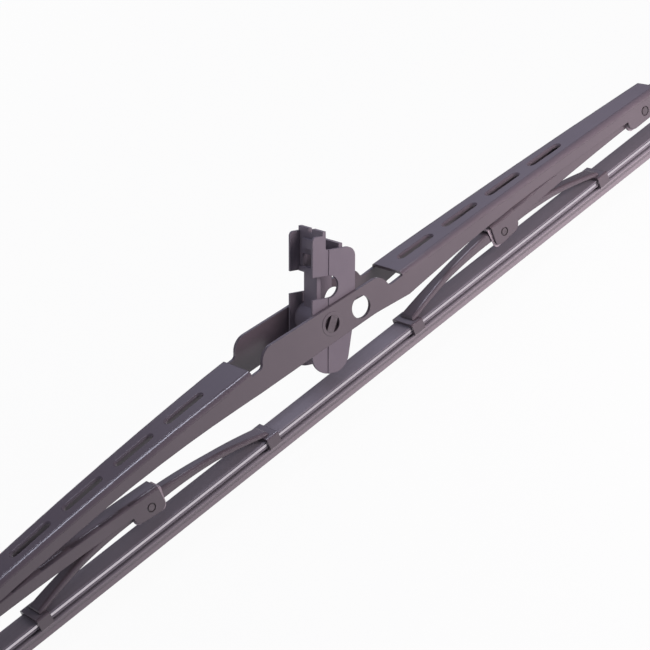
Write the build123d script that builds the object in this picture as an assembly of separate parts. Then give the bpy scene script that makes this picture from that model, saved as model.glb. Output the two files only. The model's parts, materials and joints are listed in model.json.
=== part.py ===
# Bow-frame wiper blade: a folded primary yoke hangs on a pivot pin and carries two secondary yokes,
# which carry four tertiary yokes whose claws hold a rubber wiping element with two steel spine rails.
# A moulded hook adapter clips on the pivot pin. X runs along the blade, -Y is the front, +Z points
# away from the glass. The origin is the middle of the pivot pin.
import os
from math import cos, radians, sin, sqrt

from build123d import *

# Whole blade
blade_middle = -1.0
rubber_overhang = 7.7
rubber_top = -18.8
running_gap = 0.05
rivet_gap = 0.02
taper_ease = 25.0

# Primary yoke: one folded sheet, a channel with its web cut away between two tall cheeks
primary_sheet = 1.0
primary_width = 13.2
primary_bend = 1.5
primary_taper_start = 36.0
primary_flange = 4.4
primary_shoulder_flange = 7.4
primary_gusset_end = 80.0
primary_gusset_hollow = 0.6
primary_rivet_reach = 129.0
primary_rivet_z = -9.0
primary_overhang = 7.5
primary_ear_length = 15.2
primary_ear_drop = 2.9
primary_ear_round = 2.6
left_arm_end_z = -3.2
right_arm_end_z = -4.4
left_window = 28.2
right_window = 26.3
left_shoulder_z = 3.7
right_shoulder_z = -0.3
left_arm_rise = 1.15
right_arm_rise = 0.4

# Cheeks of the primary yoke, either side of the pivot
cheek_left_end = -22.6
cheek_right_end = 20.1
cheek_top_left = 6.7
cheek_top_right = 3.0
cheek_foot_spread = 2.0
cheek_corner = 4.6
cheek_waist_x = 14.0
cheek_waist_z = -5.9
cheek_waist_ease = 40.0
notch_corner = 1.4
left_notch_z = 2.1
right_notch_z = -1.5

# Slots in the web of the primary yoke
slot_count = 4
slot_pitch = 17.6
slot_length = 12.5
slot_width = 2.2
slot_dish = 0.45
left_slot_start = 40.6
right_slot_start = 31.5

# Pivot pin and the hole for an arm with a side pin
pin_radius = 2.4
pin_proud = 0.15
pin_bar_width = 2.3
pin_bar_turn = 45.0
pin_sink = 0.9
collar_radius = 3.4
collar_height = 0.1
side_hole_x = 10.3
side_hole_z = -1.4
side_hole_radius = 3.2

# Secondary yokes
secondary_sheet = 0.8
secondary_bend = 1.2
secondary_crown = 2.2
secondary_rise = 2.3
secondary_flange = 4.0
secondary_boss_length = 12.0
secondary_boss_drop = 2.7
secondary_boss_round = 1.6
secondary_rivet_reach = 61.9
secondary_overhang = 4.0
secondary_ear_length = 10.0
secondary_ear_drop = 2.5
secondary_ear_round = 2.4
secondary_ear_tilt = 6.5

# Tertiary yokes with their claws, heights above the rubber
tertiary_sheet = 0.7
tertiary_width = 3.8
tertiary_bend = 0.9
tertiary_top = 8.1
tertiary_rise = 1.15
tertiary_nose = 1.6
tertiary_nose_round = 0.9
tertiary_nose_width = 5.6
tertiary_flare_start = 22.0
tertiary_foot = 0.95
tertiary_waist = 3.75
tertiary_waist_reach = 23.4
tertiary_belly = 4.7
tertiary_rivet_height = 5.7
tertiary_boss_radius = 1.9
claw_reach = 39.4
claw_length = 4.0
claw_gap = 0.15
claw_lip = 1.1
claw_bend = 0.6

# Plastic liners between the ears and the yoke that they hold
end_liner = 0.45
claw_liner = 0.35
liner_proud = 0.4
liner_corner = 1.6

# Rivets through the ears, their heads flush in round recesses
end_rivet_radius = 1.0
end_rivet_head = 1.15
end_recess_radius = 1.5
end_recess_depth = 0.45
claw_rivet_radius = 0.8
claw_rivet_head = 0.95
claw_recess_radius = 1.3
claw_recess_depth = 0.35

# Rubber element and spine rails, depths below the rubber's top
head_width = 7.0
head_depth = 2.0
head_round = 0.3
wedge_round = 0.5
rail_depth = 0.45
rail_thickness = 0.9
rail_width = 2.4
rail_inset = 3.0
rail_clearance = 0.03
neck_width = 1.8
shoulder_depth = 3.2
shoulder_width = 5.6
shoulder_side = 0.9
lip_start = 6.4
lip_width = 0.9
rubber_depth = 7.8

# Hook adapter, drawn upright about the pin, then leaned over towards +X
adapter_lean = 25.0
adapter_width = 10.9
plate_wall = 0.85
plate_left = -5.7
plate_right = 8.6
plate_top = 20.1
plate_corner = 2.8
block_top = 24.0
block_right = -1.3
block_corner = 1.2
lobe_bottom = -14.2
lobe_right = 5.9
lobe_rise = 2.0
lobe_left_corner = 6.0
lobe_right_corner = 5.0
bay_bottom = 6.9
bay_top = 13.1
bay_end = 2.9
hub_radius = 4.2
side_relief = 0.7
tongue_face = -2.4
tongue_wall = 1.4
tongue_low = 13.0
tongue_window_low = 14.4
tongue_window_high = 18.0
tongue_window_width = 6.6
ledge_depth = 0.5
nub_low = 19.8
nub_high = 22.4
nub_width = 4.8
nub_depth = 1.0
lug_height = 1.2
lug_gap = 1.4
bridge_depth = 1.6
post_width = 5.6
back_face = 3.6
back_wall = 1.2
back_low = 16.5
back_high = 21.2
plate_step = 0.2
plate_step_at = -0.35

# Cuts right through reach this far past the solid, and hollows this far past a channel's open ends
past = 30.0
cavity_reach = 1.0

# Length that follows from the yokes' reach, and widths that follow from the fits, from the inside out
blade_length = 2 * (primary_rivet_reach + secondary_rivet_reach + claw_reach + rubber_overhang)
secondary_width = tertiary_width + 2 * (running_gap + claw_liner + secondary_sheet)
primary_tip_width = secondary_width + 2 * (running_gap + end_liner + primary_sheet)
claw_half = head_width / 2 + claw_gap + tertiary_sheet


class Arch:
    # Circular curve through two points of the XZ plane, bulging upwards by its rise
    def __init__(self, start, end, rise):
        run, climb = end[0] - start[0], end[1] - start[1]
        chord = sqrt(run * run + climb * climb)
        self.radius = (chord * chord / 4 + rise * rise) / (2 * rise)
        drop = self.radius - rise
        self.centre_x = (start[0] + end[0]) / 2 + climb / chord * drop
        self.centre_z = (start[1] + end[1]) / 2 - run / chord * drop

    def point(self, x, depth=0.0):
        # Point of the curve, or of the parallel curve that lies the depth below it
        radius = self.radius - depth
        return (x, self.centre_z + sqrt(radius * radius - (x - self.centre_x) ** 2))

    def edge(self, x_from, x_to, depth=0.0):
        middle = (x_from + x_to) / 2
        return ThreePointArc(self.point(x_from, depth), self.point(middle, depth), self.point(x_to, depth))


def outline(*edges):
    # Closed flat face of the XZ plane from edges that meet end to end
    return make_face(Wire(list(edges)))


def strip(arch, x_from, x_to, depth):
    # Band of even depth below an arch
    return outline(
        arch.edge(x_from, x_to),
        Line(arch.point(x_to), arch.point(x_to, depth)),
        arch.edge(x_to, x_from, depth),
        Line(arch.point(x_from, depth), arch.point(x_from)),
    )


def across(face, half_width):
    # Solid of a side outline, as wide as the piece, centred on the blade's middle plane
    return extrude(Plane.XZ * face, amount=half_width, both=True)


def disc(x, z, radius):
    return Pos(x, z) * Circle(radius)


def drill(x, z, radius):
    return across(disc(x, z, radius), past)


def plan(stations, inset=0.0, reach=0.0):
    # Tall block whose plan has the half widths of the stations (x, half width), made narrower by the
    # inset and longer at both ends by the reach, with its turns between the stations eased
    places = [[x, half - inset] for x, half in stations]
    places[0][0] -= reach
    places[-1][0] += reach
    front = [(x, -half) for x, half in places]
    rear = [(x, half) for x, half in reversed(places)]
    turns = [0] + [taper_ease] * (len(places) - 2) + [0]
    border = FilletPolyline(*front, *rear, radius=turns + turns, close=True)
    return extrude(make_face(border), amount=2 * past, both=True)


def bend_edges(solid):
    # The two long edges where the web turns down into the flanges
    webs = solid.faces().filter_by(GeomType.CYLINDER).sort_by(Axis.Z)
    web = max(webs, key=lambda face: face.bounding_box().max.Z + face.area * 0.001)
    return [edge for edge in web.edges() if abs(edge.center().Y) > tertiary_sheet]


def under(arch, stations, inset, reach, bend):
    # Everything below an arch and inside the plan, with rounded bends along its two upper edges
    x_from = stations[0][0] - reach
    x_to = stations[-1][0] + reach
    roof = outline(
        arch.edge(x_from, x_to, inset),
        Line(arch.point(x_to, inset), (x_to, -past)),
        Line((x_to, -past), (x_from, -past)),
        Line((x_from, -past), arch.point(x_from, inset)),
    )
    block = across(roof, past) & plan(stations, inset, reach)
    return fillet(bend_edges(block), bend)


def cavity(arch, stations, sheet, bend):
    # Space under the web and between the flanges of a folded channel
    return under(arch, stations, sheet, cavity_reach, bend - sheet)


def channel(side, arch, stations, sheet, bend):
    # Folded channel from its side outline: rounded bends outside, hollow inside
    body = under(arch, stations, 0, 0, bend) & across(side, past)
    return body - cavity(arch, stations, sheet, bend)


def ear_face(tip, length, low, height, corner, tilt=0.0, proud=0.0):
    # Round-cornered side outline of an ear that ends at the tip, tilted about the middle of its foot, or
    # of the lining that shows past the ear's end and below it by the proud margin
    foot = Pos(tip - length / 2, low) * Rot(0, 0, -tilt)
    face = RectangleRounded(length + proud, height + proud, corner)
    return foot * Pos(proud / 2, height / 2 - proud / 2) * face


def liner(space, face, slot_width, arch, roof_depth, rivet):
    # Plastic lining of an ear: fills the space of the channel but for a slot for the inner yoke
    box = face.bounding_box()
    x_from = box.min.X - 1
    x_to = box.max.X + 1
    slot_face = outline(
        arch.edge(x_from, x_to, roof_depth),
        Line(arch.point(x_to, roof_depth), (x_to, -past)),
        Line((x_to, -past), (x_from, -past)),
        Line((x_from, -past), arch.point(x_from, roof_depth)),
    )
    return (space & across(face, past)) - across(slot_face, slot_width / 2) - drill(*rivet)


def end_discs(x, z, radius, half_from, half_to):
    # Two discs across the blade, one each side, between two distances from its middle plane
    half_depth = (half_to - half_from) / 2
    front = Pos(0, -half_from - half_depth, 0) * across(disc(x, z, radius), half_depth)
    return front + mirror(front, Plane.XZ)


def rivet(x, z, radius, head_radius, recess_depth, half_grip):
    # Rivet across the blade, with a head spread in the recess of each ear, flush with its outer face
    shank = across(disc(x, z, radius), half_grip - recess_depth)
    return shank + end_discs(x, z, head_radius, half_grip - recess_depth, half_grip)


# Primary yoke
primary_half = primary_width / 2
left_rivet_x = primary_rivet_reach - blade_middle
right_rivet_x = primary_rivet_reach + blade_middle
ear_bottom = primary_rivet_z - primary_ear_drop


def primary_half_at(x, rivet_x):
    # Half width of a primary arm at x, on its tapering length
    share = (x - primary_taper_start) / (rivet_x + primary_overhang - primary_taper_start)
    return primary_half + (primary_tip_width / 2 - primary_half) * share


def web_slot(arch, x):
    # Round-ended slot square to the web at x, its rim dished at forty-five degrees
    z = arch.point(x)[1]
    slope = (arch.point(x + 1)[1] - arch.point(x - 1)[1]) / 2
    place = Plane(origin=(x, 0, z), x_dir=(1, 0, slope), z_dir=(-slope, 0, 1))
    shaft = extrude(place * SlotOverall(slot_length, slot_width), amount=2 * primary_sheet, both=True)
    rim = place * SlotOverall(slot_length + 2 * slot_dish, slot_width + 2 * slot_dish)
    return shaft + extrude(rim, amount=-slot_dish, taper=45)


def primary_arm(window, shoulder_z, rivet_x, end_z, rise, slot_start):
    # One arm, drawn towards +X: tapering channel, deeper at the shoulder, with an ear at its tip
    arch = Arch((window, shoulder_z), (rivet_x, end_z), rise)
    tip = rivet_x + primary_overhang
    ear_height = arch.point(tip, primary_sheet)[1] - ear_bottom
    ear = ear_face(tip, primary_ear_length, ear_bottom, ear_height, primary_ear_round)
    middle = (window + primary_gusset_end) / 2
    even_depth = (primary_shoulder_flange + primary_flange) / 2
    gusset_foot = arch.point(window, primary_shoulder_flange)
    gusset_tip = arch.point(primary_gusset_end, primary_flange)
    gusset = outline(
        Line(arch.point(window, primary_flange / 2), gusset_foot),
        ThreePointArc(gusset_foot, arch.point(middle, even_depth - primary_gusset_hollow), gusset_tip),
        Line(gusset_tip, arch.point(primary_gusset_end, primary_flange / 2)),
        arch.edge(primary_gusset_end, window, primary_flange / 2),
    )
    side = strip(arch, window, tip, primary_flange) + gusset + ear
    stations = [(window, primary_half), (primary_taper_start, primary_half), (tip, primary_tip_width / 2)]
    arm = channel(side, arch, stations, primary_sheet, primary_bend)
    for i in range(slot_count):
        arm = arm - web_slot(arch, slot_start + slot_length / 2 + slot_pitch * i)
    arm = arm - drill(rivet_x, primary_rivet_z, end_rivet_radius + rivet_gap)
    recess_floor = primary_half_at(rivet_x, rivet_x) - end_recess_depth
    arm = arm - end_discs(rivet_x, primary_rivet_z, end_recess_radius, recess_floor, past)
    lining_face = ear_face(
        tip, primary_ear_length, ear_bottom, 2 * ear_height, liner_corner, proud=liner_proud
    )
    lining = liner(
        cavity(arch, stations, primary_sheet, primary_bend),
        lining_face,
        secondary_width + 2 * running_gap,
        arch,
        primary_sheet + end_liner,
        (rivet_x, primary_rivet_z, end_rivet_radius + running_gap),
    )
    return arm, arch, lining


right_arm, right_arch, right_lining = primary_arm(
    right_window, right_shoulder_z, right_rivet_x, right_arm_end_z, right_arm_rise, right_slot_start
)
left_arm, left_arch, left_lining = primary_arm(
    left_window, left_shoulder_z, left_rivet_x, left_arm_end_z, left_arm_rise, left_slot_start
)

# Cheeks: side plates that carry the pin, joined to the flanges of both arms
left_low = left_arch.point(left_window, primary_shoulder_flange)[1]
right_low = right_arch.point(right_window, primary_shoulder_flange)[1]
cheek_overlap = 2.0
cheek_points = [
    (-left_window, left_low),
    (-left_window - cheek_overlap, left_low + cheek_overlap),
    (-left_window - cheek_overlap, left_notch_z),
    (cheek_left_end - cheek_foot_spread, left_notch_z),
    (cheek_left_end, cheek_top_left),
    (cheek_right_end, cheek_top_right),
    (cheek_right_end + cheek_foot_spread / 2, right_notch_z),
    (right_window + cheek_overlap, right_notch_z),
    (right_window + cheek_overlap, right_low + cheek_overlap),
    (right_window, right_low),
    (cheek_waist_x, cheek_waist_z),
]
cheek_radii = [0, 0, 0, notch_corner, cheek_corner, cheek_corner, notch_corner, 0, 0, 0, cheek_waist_ease]
cheek_face = make_face(FilletPolyline(*cheek_points, radius=cheek_radii, close=True))
cheek_sheet = Pos(0, -primary_half + primary_sheet / 2, 0) * across(cheek_face, primary_sheet / 2)
collar = Pos(0, -primary_half, 0) * across(disc(0, 0, collar_radius), collar_height)
cheek = cheek_sheet + collar
cheeks = cheek + mirror(cheek, Plane.XZ)
primary_yoke = right_arm + mirror(left_arm, Plane.YZ) + cheeks
primary_yoke = primary_yoke - drill(0, 0, pin_radius + rivet_gap)
primary_yoke = primary_yoke - drill(side_hole_x, side_hole_z, side_hole_radius)

# Pivot pin: held in both cheeks, each end cut away either side of a bar
pin_end = primary_half + pin_proud
pin_bar = Rot(0, 0, pin_bar_turn) * Rectangle(4 * pin_radius, pin_bar_width)
pin_cut = Pos(0, -pin_end, 0) * across(disc(0, 0, 2 * pin_radius) - pin_bar, pin_sink)
pivot_pin = across(disc(0, 0, pin_radius), pin_end) - pin_cut - mirror(pin_cut, Plane.XZ)

# Secondary yoke, drawn with its middle rivet at x = 0
secondary_end = secondary_rivet_reach + secondary_overhang
secondary_top = primary_rivet_z + secondary_crown
secondary_half = secondary_width / 2
secondary_stations = [(-secondary_end, secondary_half), (secondary_end, secondary_half)]
claw_rivet_z = rubber_top + tertiary_rivet_height
secondary_low = claw_rivet_z - secondary_ear_drop
secondary_end_z = secondary_top - secondary_rise
secondary_arch = Arch((-secondary_end, secondary_end_z), (secondary_end, secondary_end_z), secondary_rise)
secondary_ear_height = secondary_arch.point(secondary_end, secondary_sheet)[1] - secondary_low
secondary_ear = ear_face(
    secondary_end,
    secondary_ear_length,
    secondary_low,
    secondary_ear_height,
    secondary_ear_round,
    secondary_ear_tilt,
)
secondary_side = strip(secondary_arch, -secondary_end, secondary_end, secondary_flange)
boss_height = secondary_top - secondary_sheet - primary_rivet_z + secondary_boss_drop
boss_face = RectangleRounded(secondary_boss_length, boss_height, secondary_boss_round)
secondary_side = secondary_side + Pos(0, primary_rivet_z - secondary_boss_drop + boss_height / 2) * boss_face
secondary_side = secondary_side + secondary_ear + mirror(secondary_ear, Plane.YZ)
secondary_yoke = channel(
    secondary_side, secondary_arch, secondary_stations, secondary_sheet, secondary_bend
)
secondary_yoke = secondary_yoke - drill(0, primary_rivet_z, end_rivet_radius + running_gap)
recess_floor = secondary_half - claw_recess_depth
for rivet_x in (-secondary_rivet_reach, secondary_rivet_reach):
    secondary_yoke = secondary_yoke - drill(rivet_x, claw_rivet_z, claw_rivet_radius + rivet_gap)
    secondary_yoke = secondary_yoke - end_discs(rivet_x, claw_rivet_z, claw_recess_radius, recess_floor, past)

# Tertiary yoke, drawn with its rivet at x = 0: two slim arched arms, each with its nose on a claw
tertiary_half = tertiary_width / 2
claw_top = rubber_top + claw_gap + tertiary_sheet
claw_seat = rubber_top + claw_gap + tertiary_sheet / 2
claw_inner = claw_reach - claw_length / 2
foot_z = rubber_top + tertiary_foot
belly_z = rubber_top + tertiary_belly
tertiary_arch = Arch((0, rubber_top + tertiary_top), (claw_reach, rubber_top + tertiary_nose), tertiary_rise)
tertiary_side = outline(
    tertiary_arch.edge(0, claw_reach),
    Line(tertiary_arch.point(claw_reach), (claw_reach, claw_seat)),
    Line((claw_reach, claw_seat), (claw_inner, claw_seat)),
    Line((claw_inner, claw_seat), (claw_inner, foot_z)),
    ThreePointArc((claw_inner, foot_z), (tertiary_waist_reach, rubber_top + tertiary_waist), (0, belly_z)),
    Line((0, belly_z), tertiary_arch.point(0)),
)
nose = tertiary_side.vertices().group_by(Axis.X)[-1].sort_by(Axis.Y)[-1]
tertiary_side = fillet(nose, tertiary_nose_round) + disc(0, claw_rivet_z, tertiary_boss_radius)
narrow_stations = [(0, tertiary_half), (tertiary_flare_start, tertiary_half)]
nose_station = (claw_reach, tertiary_nose_width / 2)
hollow_end = claw_reach - tertiary_sheet - cavity_reach
hollow_share = (hollow_end - tertiary_flare_start) / (claw_reach - tertiary_flare_start)
hollow_station = (hollow_end, tertiary_half + (tertiary_nose_width / 2 - tertiary_half) * hollow_share)
tertiary_arm = under(tertiary_arch, narrow_stations + [nose_station], 0, 0, tertiary_bend)
tertiary_arm = tertiary_arm & across(tertiary_side, past)
tertiary_hollow = cavity(tertiary_arch, narrow_stations + [hollow_station], tertiary_sheet, tertiary_bend)
tertiary_arm = tertiary_arm - tertiary_hollow
tertiary_yoke = tertiary_arm + mirror(tertiary_arm, Plane.YZ)

# Claw: the sheet folded round the rubber's head, its lips turned in below
claw_low = rubber_top - head_depth - claw_gap - tertiary_sheet
claw_throat = head_width / 2 + claw_gap - claw_lip
claw_height = claw_top - claw_low
claw_middle = (claw_top + claw_low) / 2
claw_block = Box(claw_length, 2 * claw_half, claw_height)
claw_block = fillet(claw_block.edges().filter_by(Axis.X), claw_bend)
claw_grip = Box(past, head_width + 2 * claw_gap, head_depth + 2 * claw_gap)
claw_mouth = Pos(0, 0, -claw_height) * Box(past, 2 * claw_throat, 2 * claw_height)
claw = claw_block - claw_grip - claw_mouth
for side in (-1, 1):
    tertiary_yoke = tertiary_yoke + Pos(side * claw_reach, 0, claw_middle) * claw
tertiary_yoke = tertiary_yoke - drill(0, claw_rivet_z, claw_rivet_radius + running_gap)

# Liner between the ear of a secondary yoke and the tertiary yoke in it, drawn towards +X
claw_lining_face = ear_face(
    secondary_end,
    secondary_ear_length,
    secondary_low,
    2 * secondary_ear_height,
    liner_corner,
    secondary_ear_tilt,
    liner_proud,
)
claw_lining = liner(
    cavity(secondary_arch, secondary_stations, secondary_sheet, secondary_bend),
    claw_lining_face,
    tertiary_width + 2 * running_gap,
    secondary_arch,
    secondary_sheet + claw_liner,
    (secondary_rivet_reach, claw_rivet_z, claw_rivet_radius + running_gap),
)


# Rivets, with heads flush in the ears' recesses
def ear_rivet(rivet_x):
    # Rivet through the ear at the tip of a primary arm, drawn towards +X
    half_grip = primary_half_at(rivet_x, rivet_x)
    return rivet(rivet_x, primary_rivet_z, end_rivet_radius, end_rivet_head, end_recess_depth, half_grip)


claw_rivet = rivet(0, claw_rivet_z, claw_rivet_radius, claw_rivet_head, claw_recess_depth, secondary_half)

# Rubber element: a head with a slot down each side for a rail, a thin neck, and a wedge down to the lip
head_half = head_width / 2
slot_depth = head_half - rail_width
slot_floor = rail_depth + rail_thickness
rubber_half = [
    (head_half, 0),
    (head_half, -rail_depth + rail_clearance),
    (slot_depth, -rail_depth + rail_clearance),
    (slot_depth, -slot_floor),
    (head_half, -slot_floor),
    (head_half, -head_depth),
    (neck_width / 2, -head_depth),
    (neck_width / 2, -shoulder_depth),
    (shoulder_width / 2, -shoulder_depth),
    (shoulder_width / 2, -shoulder_depth - shoulder_side),
    (lip_width / 2, -lip_start),
    (lip_width / 2, -rubber_depth),
]
rubber_rounds = [head_round] + [0] * 7 + [wedge_round] * 3 + [0]
rubber_points = rubber_half + [(-y, z) for y, z in reversed(rubber_half)]
rubber_radii = rubber_rounds + rubber_rounds[::-1]
rubber_section = make_face(FilletPolyline(*rubber_points, radius=rubber_radii, close=True))
rubber_bar = extrude(Plane.YZ * rubber_section, amount=blade_length / 2, both=True)
wiper_rubber = Pos(blade_middle, 0, rubber_top) * rubber_bar

# Spine rails: flat steel strips lying in the slots, flush with the head's sides
rail_length = blade_length - 2 * rail_inset
rail_bar = Box(rail_length, rail_width, rail_thickness)
rail_z = rubber_top - rail_depth - rail_thickness / 2
rail_y = head_half - rail_width / 2
spine_rail_front = Pos(blade_middle, -rail_y, rail_z) * rail_bar
spine_rail_rear = Pos(blade_middle, rail_y, rail_z) * rail_bar

# Hook adapter: two side plates held apart by a hub on the pin, a tongue, a bridge and a back wall
lean = radians(adapter_lean)
inner_half = adapter_width / 2 - plate_wall
bay_radius = (bay_top - bay_bottom) / 2
bay_z = (bay_top + bay_bottom) / 2
hole_x = side_hole_x * cos(lean) - side_hole_z * sin(lean)
hole_z = side_hole_x * sin(lean) + side_hole_z * cos(lean)
plate_points = [
    (plate_left, lobe_bottom),
    (plate_left, block_top),
    (block_right, block_top),
    (block_right, plate_top),
    (plate_right, plate_top),
    (plate_right, lobe_rise),
    (lobe_right, lobe_bottom),
]
plate_radii = [
    lobe_left_corner,
    block_corner,
    block_corner / 2,
    block_corner / 2,
    plate_corner,
    plate_corner,
    lobe_right_corner,
]


def bar(x_from, x_to, half_width, z_from, z_to):
    # Rectangular bar across the adapter, centred on its middle plane
    place = Pos((x_from + x_to) / 2, 0, (z_from + z_to) / 2)
    return place * Box(x_to - x_from, 2 * half_width, z_to - z_from)


plate_face = make_face(FilletPolyline(*plate_points, radius=plate_radii, close=True))
bay_stop = bay_end - bay_radius
bay_length = bay_stop - plate_left + 1
bay_face = Pos(bay_stop - bay_length / 2, bay_z) * Rectangle(bay_length, bay_top - bay_bottom)
bay_face = bay_face + disc(bay_stop, bay_z, bay_radius)
plate_face = plate_face - bay_face - disc(hole_x, hole_z, side_hole_radius + side_relief)
plate = Pos(0, -adapter_width / 2 + plate_wall / 2, 0) * across(plate_face, plate_wall / 2)
step_cut = Pos(plate_step_at - past / 2, -adapter_width / 2, 0) * Box(past, 2 * plate_step, 4 * past)
plate = plate - step_cut
adapter = plate + mirror(plate, Plane.XZ)
tongue_back = tongue_face + tongue_wall
window_half = tongue_window_width / 2
tongue = bar(tongue_face, tongue_back, inner_half, tongue_low, block_top)
tongue = tongue - bar(tongue_face - 1, tongue_back + 1, window_half, tongue_window_low, tongue_window_high)
ledge = bar(tongue_face - ledge_depth, tongue_face, inner_half, tongue_low, tongue_window_low)
nub = bar(tongue_face - nub_depth, tongue_face, nub_width / 2, nub_low, nub_high)
bridge = bar(tongue_face, block_right, inner_half, block_top - bridge_depth, block_top)
lug_half = adapter_width / 2 - plate_step
lugs = bar(tongue_face, block_right, lug_half, block_top - bridge_depth, block_top + lug_height)
lugs = lugs - bar(tongue_face - 1, block_right + 1, lug_gap / 2, block_top, block_top + 2 * lug_height)
post = bar(tongue_face, tongue_back, post_width / 2, hub_radius / 2, bay_top)
back = bar(back_face, back_face + back_wall, inner_half, back_low, back_high)
hub = across(disc(0, 0, hub_radius), inner_half)
adapter = adapter + tongue + ledge + nub + bridge + lugs + post + back + hub
adapter = adapter - drill(0, 0, pin_radius + running_gap)
hook_adapter = Rot(0, adapter_lean, 0) * adapter

# One file for each piece
right_x = right_rivet_x
left_x = -left_rivet_x
reach = secondary_rivet_reach
claw_lining_mirrored = mirror(claw_lining, Plane.YZ)
pieces = {
    "primary_yoke": primary_yoke,
    "pivot_pin": pivot_pin,
    "hook_adapter": hook_adapter,
    "secondary_yoke_left": Pos(left_x, 0, 0) * secondary_yoke,
    "secondary_yoke_right": Pos(right_x, 0, 0) * secondary_yoke,
    "tertiary_yoke_left_outer": Pos(left_x - reach, 0, 0) * tertiary_yoke,
    "tertiary_yoke_left_inner": Pos(left_x + reach, 0, 0) * tertiary_yoke,
    "tertiary_yoke_right_inner": Pos(right_x - reach, 0, 0) * tertiary_yoke,
    "tertiary_yoke_right_outer": Pos(right_x + reach, 0, 0) * tertiary_yoke,
    "end_rivet_left": mirror(ear_rivet(left_rivet_x), Plane.YZ),
    "end_rivet_right": ear_rivet(right_rivet_x),
    "claw_rivet_left_outer": Pos(left_x - reach, 0, 0) * claw_rivet,
    "claw_rivet_left_inner": Pos(left_x + reach, 0, 0) * claw_rivet,
    "claw_rivet_right_inner": Pos(right_x - reach, 0, 0) * claw_rivet,
    "claw_rivet_right_outer": Pos(right_x + reach, 0, 0) * claw_rivet,
    "end_liner_left": mirror(left_lining, Plane.YZ),
    "end_liner_right": right_lining,
    "claw_liner_left_outer": Pos(left_x, 0, 0) * claw_lining_mirrored,
    "claw_liner_left_inner": Pos(left_x, 0, 0) * claw_lining,
    "claw_liner_right_inner": Pos(right_x, 0, 0) * claw_lining_mirrored,
    "claw_liner_right_outer": Pos(right_x, 0, 0) * claw_lining,
    "wiper_rubber": wiper_rubber,
    "spine_rail_front": spine_rail_front,
    "spine_rail_rear": spine_rail_rear,
}
os.makedirs("parts", exist_ok=True)
for name, piece in pieces.items():
    export_step(piece, f"parts/{name}.step")
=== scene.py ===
import json
import math

import bpy
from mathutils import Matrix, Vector


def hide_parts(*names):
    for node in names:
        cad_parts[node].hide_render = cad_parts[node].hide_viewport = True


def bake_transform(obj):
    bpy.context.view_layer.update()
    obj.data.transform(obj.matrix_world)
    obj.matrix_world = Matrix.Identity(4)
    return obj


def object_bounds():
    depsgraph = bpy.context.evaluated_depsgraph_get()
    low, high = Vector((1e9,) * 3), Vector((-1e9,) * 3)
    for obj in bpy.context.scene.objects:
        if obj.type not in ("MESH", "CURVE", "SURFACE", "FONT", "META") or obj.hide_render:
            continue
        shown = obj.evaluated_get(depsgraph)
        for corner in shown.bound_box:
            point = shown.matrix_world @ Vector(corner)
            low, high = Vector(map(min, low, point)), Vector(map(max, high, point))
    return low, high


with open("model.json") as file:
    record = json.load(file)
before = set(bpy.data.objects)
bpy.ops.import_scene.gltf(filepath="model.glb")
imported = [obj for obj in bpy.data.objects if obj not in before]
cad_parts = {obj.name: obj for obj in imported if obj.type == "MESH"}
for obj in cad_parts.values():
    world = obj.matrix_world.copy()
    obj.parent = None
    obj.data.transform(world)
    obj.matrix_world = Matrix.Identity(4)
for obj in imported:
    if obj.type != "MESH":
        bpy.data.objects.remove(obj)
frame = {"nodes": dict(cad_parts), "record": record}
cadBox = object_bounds()
mm = 0.001
edgeSamples = 6    # rays that round an edge in the shading


def toLinear(hexColour):
    channels = [int(hexColour[i:i + 2], 16) / 255 for i in (1, 3, 5)]
    return [c / 12.92 if c <= 0.04045 else ((c + 0.055) / 1.055) ** 2.4 for c in channels] + [1.0]


def addNode(tree, kind, inputs, **settings):
    node = tree.nodes.new(kind)
    for name, value in settings.items():
        setattr(node, name, value)
    for socket, value in inputs.items():
        if isinstance(value, bpy.types.NodeSocket):
            tree.links.new(value, node.inputs[socket])
        else:
            node.inputs[socket].default_value = value
    return node


def startMaterial(name, fixed):
    material = bpy.data.materials.new(name)
    material.use_nodes = True
    tree = material.node_tree
    tree.nodes.clear()
    shader = addNode(tree, "ShaderNodeBsdfPrincipled", fixed)
    addNode(tree, "ShaderNodeOutputMaterial", {"Surface": shader.outputs["BSDF"]})
    place = addNode(tree, "ShaderNodeTexCoord", {}).outputs["Object"]
    return material, tree, shader, place


def spreadLook(tree, shader, look, colourPattern, roughPattern):
    colour = addNode(tree, "ShaderNodeMix", {    # sockets 0, 6 and 7: share, first and second colour
        0: colourPattern, 6: toLinear(look["low"]), 7: toLinear(look["high"]),
    }, data_type="RGBA")
    rough = addNode(tree, "ShaderNodeMapRange", {
        "Value": roughPattern, "To Min": look["roughness"][0], "To Max": look["roughness"][1],
    })
    tree.links.new(colour.outputs[2], shader.inputs["Base Color"])
    tree.links.new(rough.outputs["Result"], shader.inputs["Roughness"])


# Stoved grey paint on folded sheet: an even satin skin with a little orange peel and faint clouding
stovedPaint = {
    "low": "#494248", "high": "#534b51",      # colour of the paint where it lies thin and thick
    "cloud": 22.0, "cloudDetail": 3.0,        # mm, width of the clouding
    "peel": 0.9, "peelDetail": 1.5,           # mm, orange peel, drawn coarser than real so that it shows
    "peelHeight": 0.003, "peelStrength": 0.35,
    "edge": 0.22,                             # mm, radius of the paint over the sheet's cut edges
    "roughness": (0.2, 0.28), "gloss": 1.68,
}


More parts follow.
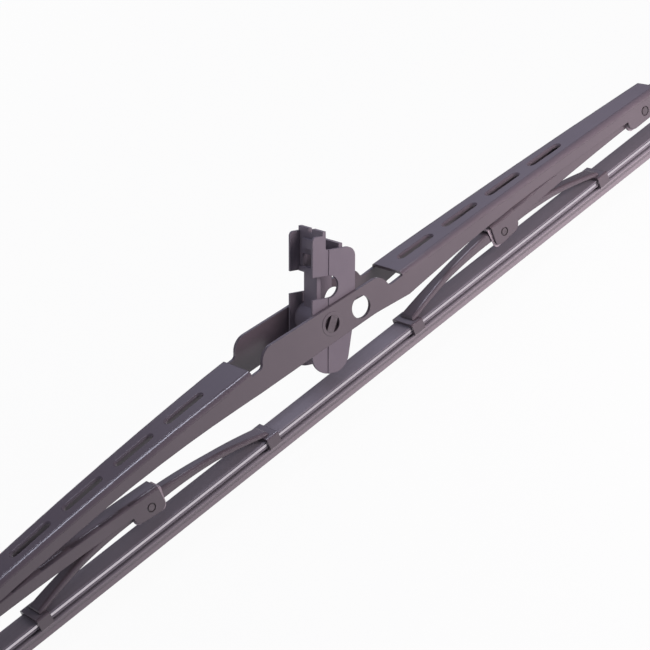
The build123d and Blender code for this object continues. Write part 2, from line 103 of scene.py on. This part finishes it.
def makeStovedPaint():
    look = stovedPaint
    material, tree, shader, place = startMaterial("stovedPaintSemiMatt", {"IOR": look["gloss"]})
    cloud = addNode(tree, "ShaderNodeTexNoise", {
        "Vector": place, "Scale": 1 / (look["cloud"] * mm), "Detail": look["cloudDetail"],
    })
    peel = addNode(tree, "ShaderNodeTexNoise", {
        "Vector": place, "Scale": 1 / (look["peel"] * mm), "Detail": look["peelDetail"],
    })
    spreadLook(tree, shader, look, cloud.outputs["Fac"], peel.outputs["Fac"])
    edge = addNode(tree, "ShaderNodeBevel", {"Radius": look["edge"] * mm}, samples=edgeSamples)
    bump = addNode(tree, "ShaderNodeBump", {
        "Height": peel.outputs["Fac"], "Strength": look["peelStrength"],
        "Distance": look["peelHeight"] * mm, "Normal": edge.outputs["Normal"],
    })
    tree.links.new(bump.outputs["Normal"], shader.inputs["Normal"])
    return material


# Moulded acetal: an even grey with the fine spark texture of the mould, and a soft dull sheen
mouldedAcetal = {
    "low": "#5b555e", "high": "#666067",
    "cloud": 9.0, "cloudDetail": 2.0,
    "spark": 0.4, "sparkDetail": 3.0,         # mm, mould texture
    "sparkHeight": 0.012, "sparkStrength": 0.4,
    "edge": 0.2,                              # mm, radius of the moulding's edges
    "roughness": (0.42, 0.55), "gloss": 1.48,
}


def makeMouldedAcetal():
    look = mouldedAcetal
    material, tree, shader, place = startMaterial("mouldedAcetalSparkTexture", {"IOR": look["gloss"]})
    cloud = addNode(tree, "ShaderNodeTexNoise", {
        "Vector": place, "Scale": 1 / (look["cloud"] * mm), "Detail": look["cloudDetail"],
    })
    spark = addNode(tree, "ShaderNodeTexNoise", {
        "Vector": place, "Scale": 1 / (look["spark"] * mm), "Detail": look["sparkDetail"],
    })
    spreadLook(tree, shader, look, cloud.outputs["Fac"], spark.outputs["Fac"])
    edge = addNode(tree, "ShaderNodeBevel", {"Radius": look["edge"] * mm}, samples=edgeSamples)
    bump = addNode(tree, "ShaderNodeBump", {
        "Height": spark.outputs["Fac"], "Strength": look["sparkStrength"],
        "Distance": look["sparkHeight"] * mm, "Normal": edge.outputs["Normal"],
    })
    tree.links.new(bump.outputs["Normal"], shader.inputs["Normal"])
    return material


# Formed steel, oiled dark: soft metallic grey with the small marks of the forming tool
formedSteel = {
    "low": "#5c5559", "high": "#847b80",
    "mark": 0.7, "markDetail": 4.0,           # mm, tool marks
    "roughness": (0.3, 0.46), "metal": 0.85,
}


def makeFormedSteel():
    look = formedSteel
    material, tree, shader, place = startMaterial("formedSteelDarkened", {"Metallic": look["metal"]})
    mark = addNode(tree, "ShaderNodeTexNoise", {
        "Vector": place, "Scale": 1 / (look["mark"] * mm), "Detail": look["markDetail"],
    })
    spreadLook(tree, shader, look, mark.outputs["Fac"], mark.outputs["Fac"])
    return material


# Moulded nylon: a plain lighter grey with a waxy, smooth surface
mouldedNylon = {
    "low": "#857c82", "high": "#928990",
    "cloud": 3.0, "cloudDetail": 2.0,
    "roughness": (0.4, 0.5), "gloss": 1.53,
}


def makeMouldedNylon():
    look = mouldedNylon
    material, tree, shader, place = startMaterial("mouldedNylonSmooth", {"IOR": look["gloss"]})
    cloud = addNode(tree, "ShaderNodeTexNoise", {
        "Vector": place, "Scale": 1 / (look["cloud"] * mm), "Detail": look["cloudDetail"],
    })
    spreadLook(tree, shader, look, cloud.outputs["Fac"], cloud.outputs["Fac"])
    return material


# Extruded rubber: matt, with faint streaks along its length from the die; its wedge and lip are painted
# paler, a painted reflection of the white floor below them
extrudedRubber = {
    "low": "#5d5960", "high": "#6b676e",
    # painted reflection: the paler colour of wedge and lip stands in for the white floor's light mirrored in
    # them
    "coatLow": "#736d73", "coatHigh": "#837d83",
    "coatFrom": -22.4, "coatFade": 0.1,       # mm, height below which the painted floor reflection starts, and its soft edge
    "streak": 0.5, "streakDetail": 3.0,       # mm wide, drawn coarser than real so that it shows
    "streakStretch": 0.015, "streakHeight": 0.01, "streakStrength": 0.4,
    "roughness": (0.5, 0.66), "gloss": 1.52,
}


def makeExtrudedRubber():
    look = extrudedRubber
    material, tree, shader, place = startMaterial("extrudedRubberMatt", {"IOR": look["gloss"]})
    along = addNode(tree, "ShaderNodeMapping", {"Vector": place, "Scale": (look["streakStretch"], 1.0, 1.0)})
    streak = addNode(tree, "ShaderNodeTexNoise", {
        "Vector": along.outputs["Vector"], "Scale": 1 / (look["streak"] * mm), "Detail": look["streakDetail"],
    })
    spreadLook(tree, shader, look, streak.outputs["Fac"], streak.outputs["Fac"])
    bare = shader.inputs["Base Color"].links[0].from_socket
    paintedLipSheen = addNode(tree, "ShaderNodeMix", {
        0: streak.outputs["Fac"], 6: toLinear(look["coatLow"]), 7: toLinear(look["coatHigh"]),
    }, data_type="RGBA")
    # painted reflection: below the given height the rubber is mixed toward the paler colour, in place of the
    # floor's light
    height = addNode(tree, "ShaderNodeSeparateXYZ", {"Vector": place})
    paintedLipSheenShare = addNode(tree, "ShaderNodeMapRange", {
        "Value": height.outputs["Z"],
        "From Min": look["coatFrom"] * mm, "From Max": (look["coatFrom"] - look["coatFade"]) * mm,
    })
    colour = addNode(tree, "ShaderNodeMix", {
        0: paintedLipSheenShare.outputs["Result"], 6: bare, 7: paintedLipSheen.outputs[2],
    }, data_type="RGBA")
    bump = addNode(tree, "ShaderNodeBump", {
        "Height": streak.outputs["Fac"], "Strength": look["streakStrength"],
        "Distance": look["streakHeight"] * mm,
    })
    tree.links.new(colour.outputs[2], shader.inputs["Base Color"])
    tree.links.new(bump.outputs["Normal"], shader.inputs["Normal"])
    return material


# Drawn spring steel: bright, with fine lines along the strip that stretch its reflections
drawnSteel = {
    "low": "#d6ced4", "high": "#f0eaee",
    "line": 0.12, "lineDetail": 2.0,          # mm apart, along the strip
    "lineStretch": 0.004,
    "roughness": (0.2, 0.34), "metal": 1.0,
}


def makeDrawnSteel():
    look = drawnSteel
    material, tree, shader, place = startMaterial("springSteelDrawn", {"Metallic": look["metal"]})
    along = addNode(tree, "ShaderNodeMapping", {"Vector": place, "Scale": (look["lineStretch"], 1.0, 1.0)})
    line = addNode(tree, "ShaderNodeTexNoise", {
        "Vector": along.outputs["Vector"], "Scale": 1 / (look["line"] * mm), "Detail": look["lineDetail"],
    })
    spreadLook(tree, shader, look, line.outputs["Fac"], line.outputs["Fac"])
    return material


finishes = {
    "painted_steel": makeStovedPaint(),
    "adapter_plastic": makeMouldedAcetal(),
    "pin_steel": makeFormedSteel(),
    "liner_plastic": makeMouldedNylon(),
    "rubber": makeExtrudedRubber(),
    "rail_steel": makeDrawnSteel(),
}
finishes["rivet_steel"] = finishes["pin_steel"]
for part in frame["record"]["subparts"]:
    for holder in frame["nodes"][part["node"]].material_slots:
        holder.material = finishes[part["material_slot"]]


# The rubber and its rails bend with the yokes, so they are made in lengths that meet between the hinges
wiperStrip = {
    "middle": -1.0, "top": -18.8, "length": 476.0,     # mm, as the solids
    "railInset": 3.0,
    "step": 2.0,                                       # mm between cross-sections
    "arc": 4,                                          # flats in each rounded corner
    "straight": 89.0,                                  # degrees, half the angle of a corner too flat to round
    "sharp": 35.0,                                     # degrees, edges from here on stay sharp
    "pivot": 129.0, "claw": 67.1,                      # mm from the middle: end rivet, inner claw rivet
    "free": 20.0, "held": 25.7,                        # mm from the middle: past the inner claws, at them
    "outer": 108.5, "outerHeld": 149.5,                # mm from the middle: claws on both sides of the rivet
}
rubberSection = [                                      # half the section: across, down, corner radius in mm
    (3.5, 0.0, 0.3), (3.5, 0.42, 0.08), (1.1, 0.42, 0.0), (1.1, 1.35, 0.0),
    (3.5, 1.35, 0.08), (3.5, 2.0, 0.2), (0.9, 2.0, 0.2), (0.9, 3.2, 0.2),
    (2.8, 3.2, 0.5), (2.8, 4.1, 0.5), (0.45, 6.4, 0.5), (0.45, 7.8, 0.06),
]
railSection = [(1.1, 0.45, 0.1), (3.5, 0.45, 0.16), (3.5, 1.35, 0.16), (1.1, 1.35, 0.1)]


def roundedLoop(corners, flats):
    loop = []
    for i, (y, z, radius) in enumerate(corners):
        here = Vector((y, z))
        back = (Vector(corners[i - 1][:2]) - here).normalized()
        ahead = (Vector(corners[(i + 1) % len(corners)][:2]) - here).normalized()
        half = back.angle(ahead) / 2
        if radius == 0 or half > math.radians(wiperStrip["straight"]):
            loop.append(here)
            continue
        centre = here + (back + ahead).normalized() * radius / math.sin(half)
        start = here + back * radius / math.tan(half) - centre
        end = here + ahead * radius / math.tan(half) - centre
        for k in range(flats + 1):
            loop.append(centre + start.slerp(end, k / flats) * radius)
    return loop


def sweptPiece(name, loop, xFrom, xTo, material):
    count = max(2, round(abs(xTo - xFrom) / wiperStrip["step"]) + 1)
    ring = len(loop)
    points, faces = [], []
    for i in range(count):
        x = wiperStrip["middle"] + xFrom + (xTo - xFrom) * i / (count - 1)
        points += [(x * mm, p.x * mm, (wiperStrip["top"] - p.y) * mm) for p in loop]
    for i in range(count - 1):
        for k in range(ring):
            n = (k + 1) % ring
            faces.append((i * ring + k, i * ring + n, (i + 1) * ring + n, (i + 1) * ring + k))
    faces.append(tuple(range(ring)))
    faces.append(tuple(range((count - 1) * ring, count * ring)))
    mesh = bpy.data.meshes.new(name)
    mesh.from_pydata(points, [], faces)
    mesh.materials.append(material)
    piece = bpy.data.objects.new(name, mesh)
    bpy.context.scene.collection.objects.link(piece)
    bpy.context.view_layer.objects.active = piece
    piece.select_set(True)
    bpy.ops.object.mode_set(mode="EDIT")
    bpy.ops.mesh.select_all(action="SELECT")
    bpy.ops.mesh.normals_make_consistent(inside=False)
    bpy.ops.object.mode_set(mode="OBJECT")
    piece.select_set(False)
    mesh.shade_smooth()
    mesh.set_sharp_from_angle(angle=math.radians(wiperStrip["sharp"]))
    return piece


def stripLengths(side):
    strip = wiperStrip
    secondary = "secondary_" + side
    inner, outer = "tertiary_" + side + "_inner", "tertiary_" + side + "_outer"
    tip = strip["length"] / 2
    return [    # name, from, to, body before, body after, where the bend starts and ends
        ("Middle", 0, strip["free"], "primary", secondary, 0, strip["free"]),
        ("Inner", strip["free"], strip["claw"], secondary, inner, strip["free"], strip["held"]),
        ("Between", strip["claw"], strip["pivot"], inner, secondary, strip["outer"], strip["pivot"]),
        ("Outer", strip["pivot"], tip, secondary, outer, strip["pivot"], strip["outerHeld"]),
    ]


mirroredHalf = [(-y, z, r) for y, z, r in reversed(rubberSection)]
rubberLoop = roundedLoop(rubberSection + mirroredHalf, wiperStrip["arc"])
rearLoop = roundedLoop(railSection, wiperStrip["arc"])
frontLoop = [Vector((-p.x, p.y)) for p in rearLoop]
strips = {    # section, solid it replaces, material slot, mm short of the rubber's end
    "wiperRubber": (rubberLoop, "wiper_rubber", "rubber", 0.0),
    "frontRail": (frontLoop, "spine_rail_front", "rail_steel", wiperStrip["railInset"]),
    "rearRail": (rearLoop, "spine_rail_rear", "rail_steel", wiperStrip["railInset"]),
}
lengths = 0
for side, sign in (("left", -1), ("right", 1)):
    for part, xFrom, xTo, before, after, bendFrom, bendTo in stripLengths(side):
        for stem, (loop, node, slot, inset) in strips.items():
            xEnd = xTo - inset if part == "Outer" else xTo
            piece = sweptPiece(stem + side.title() + part, loop, sign * xFrom, sign * xEnd, finishes[slot])
            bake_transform(piece)
            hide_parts(node)
            lengths += 1
print("rubber and rails in", lengths, "lengths")


# White table in a white surround: full white to the eye, dimmer where paint and metal mirror them
stage = {
    "floor": 4.0,                                      # m, side of the table
    "paper": "#b4b2b4", "white": "#ffffff", "sky": "#dfe1ff",
    "lift": 0.95, "mirrored": 0.55,                    # share of glow in what the eye and a mirror see
    "ambient": 0.19, "backdrop": 0.965,                # strength of the surround: as light, to the eye
}


def directSight(tree):
    ray = addNode(tree, "ShaderNodeLightPath", {})
    seen = addNode(tree, "ShaderNodeMath", {
        0: ray.outputs["Is Camera Ray"], 1: ray.outputs["Is Transmission Ray"],
    }, operation="MAXIMUM")
    return ray, seen.outputs[0]


half, floorZ = stage["floor"] / 2, cadBox[0][2]
corners = [(-half, -half, floorZ), (half, -half, floorZ), (half, half, floorZ), (-half, half, floorZ)]
floorMesh = bpy.data.meshes.new("floor")
floorMesh.from_pydata(corners, [], [(0, 1, 2, 3)])
floor = bpy.data.objects.new("floor", floorMesh)
bpy.context.scene.collection.objects.link(floor)
paper = bpy.data.materials.new("whitePaperMatt")
paper.use_nodes = True
tree = paper.node_tree
tree.nodes.clear()
ray, seen = directSight(tree)
plain = addNode(tree, "ShaderNodeMath", {0: seen, 1: stage["lift"]}, operation="MULTIPLY")
glint = addNode(tree, "ShaderNodeMath", {
    0: ray.outputs["Is Glossy Ray"], 1: stage["mirrored"],
}, operation="MULTIPLY")
share = addNode(tree, "ShaderNodeMath", {0: plain.outputs[0], 1: glint.outputs[0]}, operation="MAXIMUM")
matt = addNode(tree, "ShaderNodeBsdfDiffuse", {"Color": toLinear(stage["paper"])})
glow = addNode(tree, "ShaderNodeEmission", {"Color": toLinear(stage["white"]), "Strength": 1.0})
mixed = addNode(tree, "ShaderNodeMixShader", {0: share.outputs[0], 1: matt.outputs[0], 2: glow.outputs[0]})
addNode(tree, "ShaderNodeOutputMaterial", {"Surface": mixed.outputs[0]})
floorMesh.materials.append(paper)

world = bpy.data.worlds.new("whiteSurround")
bpy.context.scene.world = world
world.use_nodes = True
tree = world.node_tree
tree.nodes.clear()
ray, seen = directSight(tree)
dim = addNode(tree, "ShaderNodeBackground", {
    "Color": toLinear(stage["sky"]), "Strength": stage["ambient"],
})
bright = addNode(tree, "ShaderNodeBackground", {
    "Color": toLinear(stage["white"]), "Strength": stage["backdrop"],
})
mixed = addNode(tree, "ShaderNodeMixShader", {0: seen, 1: dim.outputs[0], 2: bright.outputs[0]})
addNode(tree, "ShaderNodeOutputWorld", {"Surface": mixed.outputs[0]})

# Soft boxes, out of the camera's sight: where they stand and point, width and height in metres,
# power in watts, colour, and whether paint and metal mirror them
lamps = {
    "lowSoftBox": ((0.16, -0.22, 0.07), (0.05, 0, 0), (0.2, 0.14), 1.28, "#fff1f3", False),
    "stripBox": ((0.2, 0.1, 0.8), (0.2, 0, 0), (0.5, 0.17), 3.0, "#e6eaff", True),
    "rearSoftBox": ((0.6, 0.85, 0.58), (0, 0, 0), (0.6, 0.6), 0.5, "#dfe4ff", True),
    "leftFill": ((-1.0, -0.25, 0.45), (0, 0, 0), (0.5, 0.5), 2.8, "#fff8fa", False),
    "rearFill": ((-0.1, 0.7, 0.15), (0, 0, 0), (0.6, 0.3), 4.0, "#fff8fa", False),
}
for name, (place, target, size, power, colour, mirrored) in lamps.items():
    lamp = bpy.data.lights.new(name, "AREA")
    lamp.shape, lamp.energy, lamp.color = "RECTANGLE", power, toLinear(colour)[:3]
    lamp.size, lamp.size_y = size
    holder = bpy.data.objects.new(name, lamp)
    holder.location = place
    holder.visible_camera, holder.visible_glossy = False, mirrored
    holder.rotation_euler = (Vector(target) - Vector(place)).to_track_quat("-Z", "Y").to_euler()
    bpy.context.scene.collection.objects.link(holder)

# Camera: long lens, from the front left and above, rolled so that the blade runs corner to corner
view = {
    "place": (-231.399, -412.249, 260.876),            # mm
    "turn": (58.952, 19.231, -40.679),                 # degrees
    "lens": 110.644, "sensor": 36.0,                   # mm
    "clip": (0.01, 20.0),                              # m
}
eye = bpy.data.cameras.new("camera")
eye.sensor_fit, eye.sensor_width, eye.lens = "HORIZONTAL", view["sensor"], view["lens"]
eye.clip_start, eye.clip_end = view["clip"]
camera = bpy.data.objects.new("camera", eye)
camera.location = Vector(view["place"]) * mm
camera.rotation_euler = [math.radians(a) for a in view["turn"]]
bpy.context.scene.collection.objects.link(camera)
bpy.context.scene.camera = camera
bpy.context.scene.view_settings.view_transform = "Standard"
print("stage, lamps and camera set")
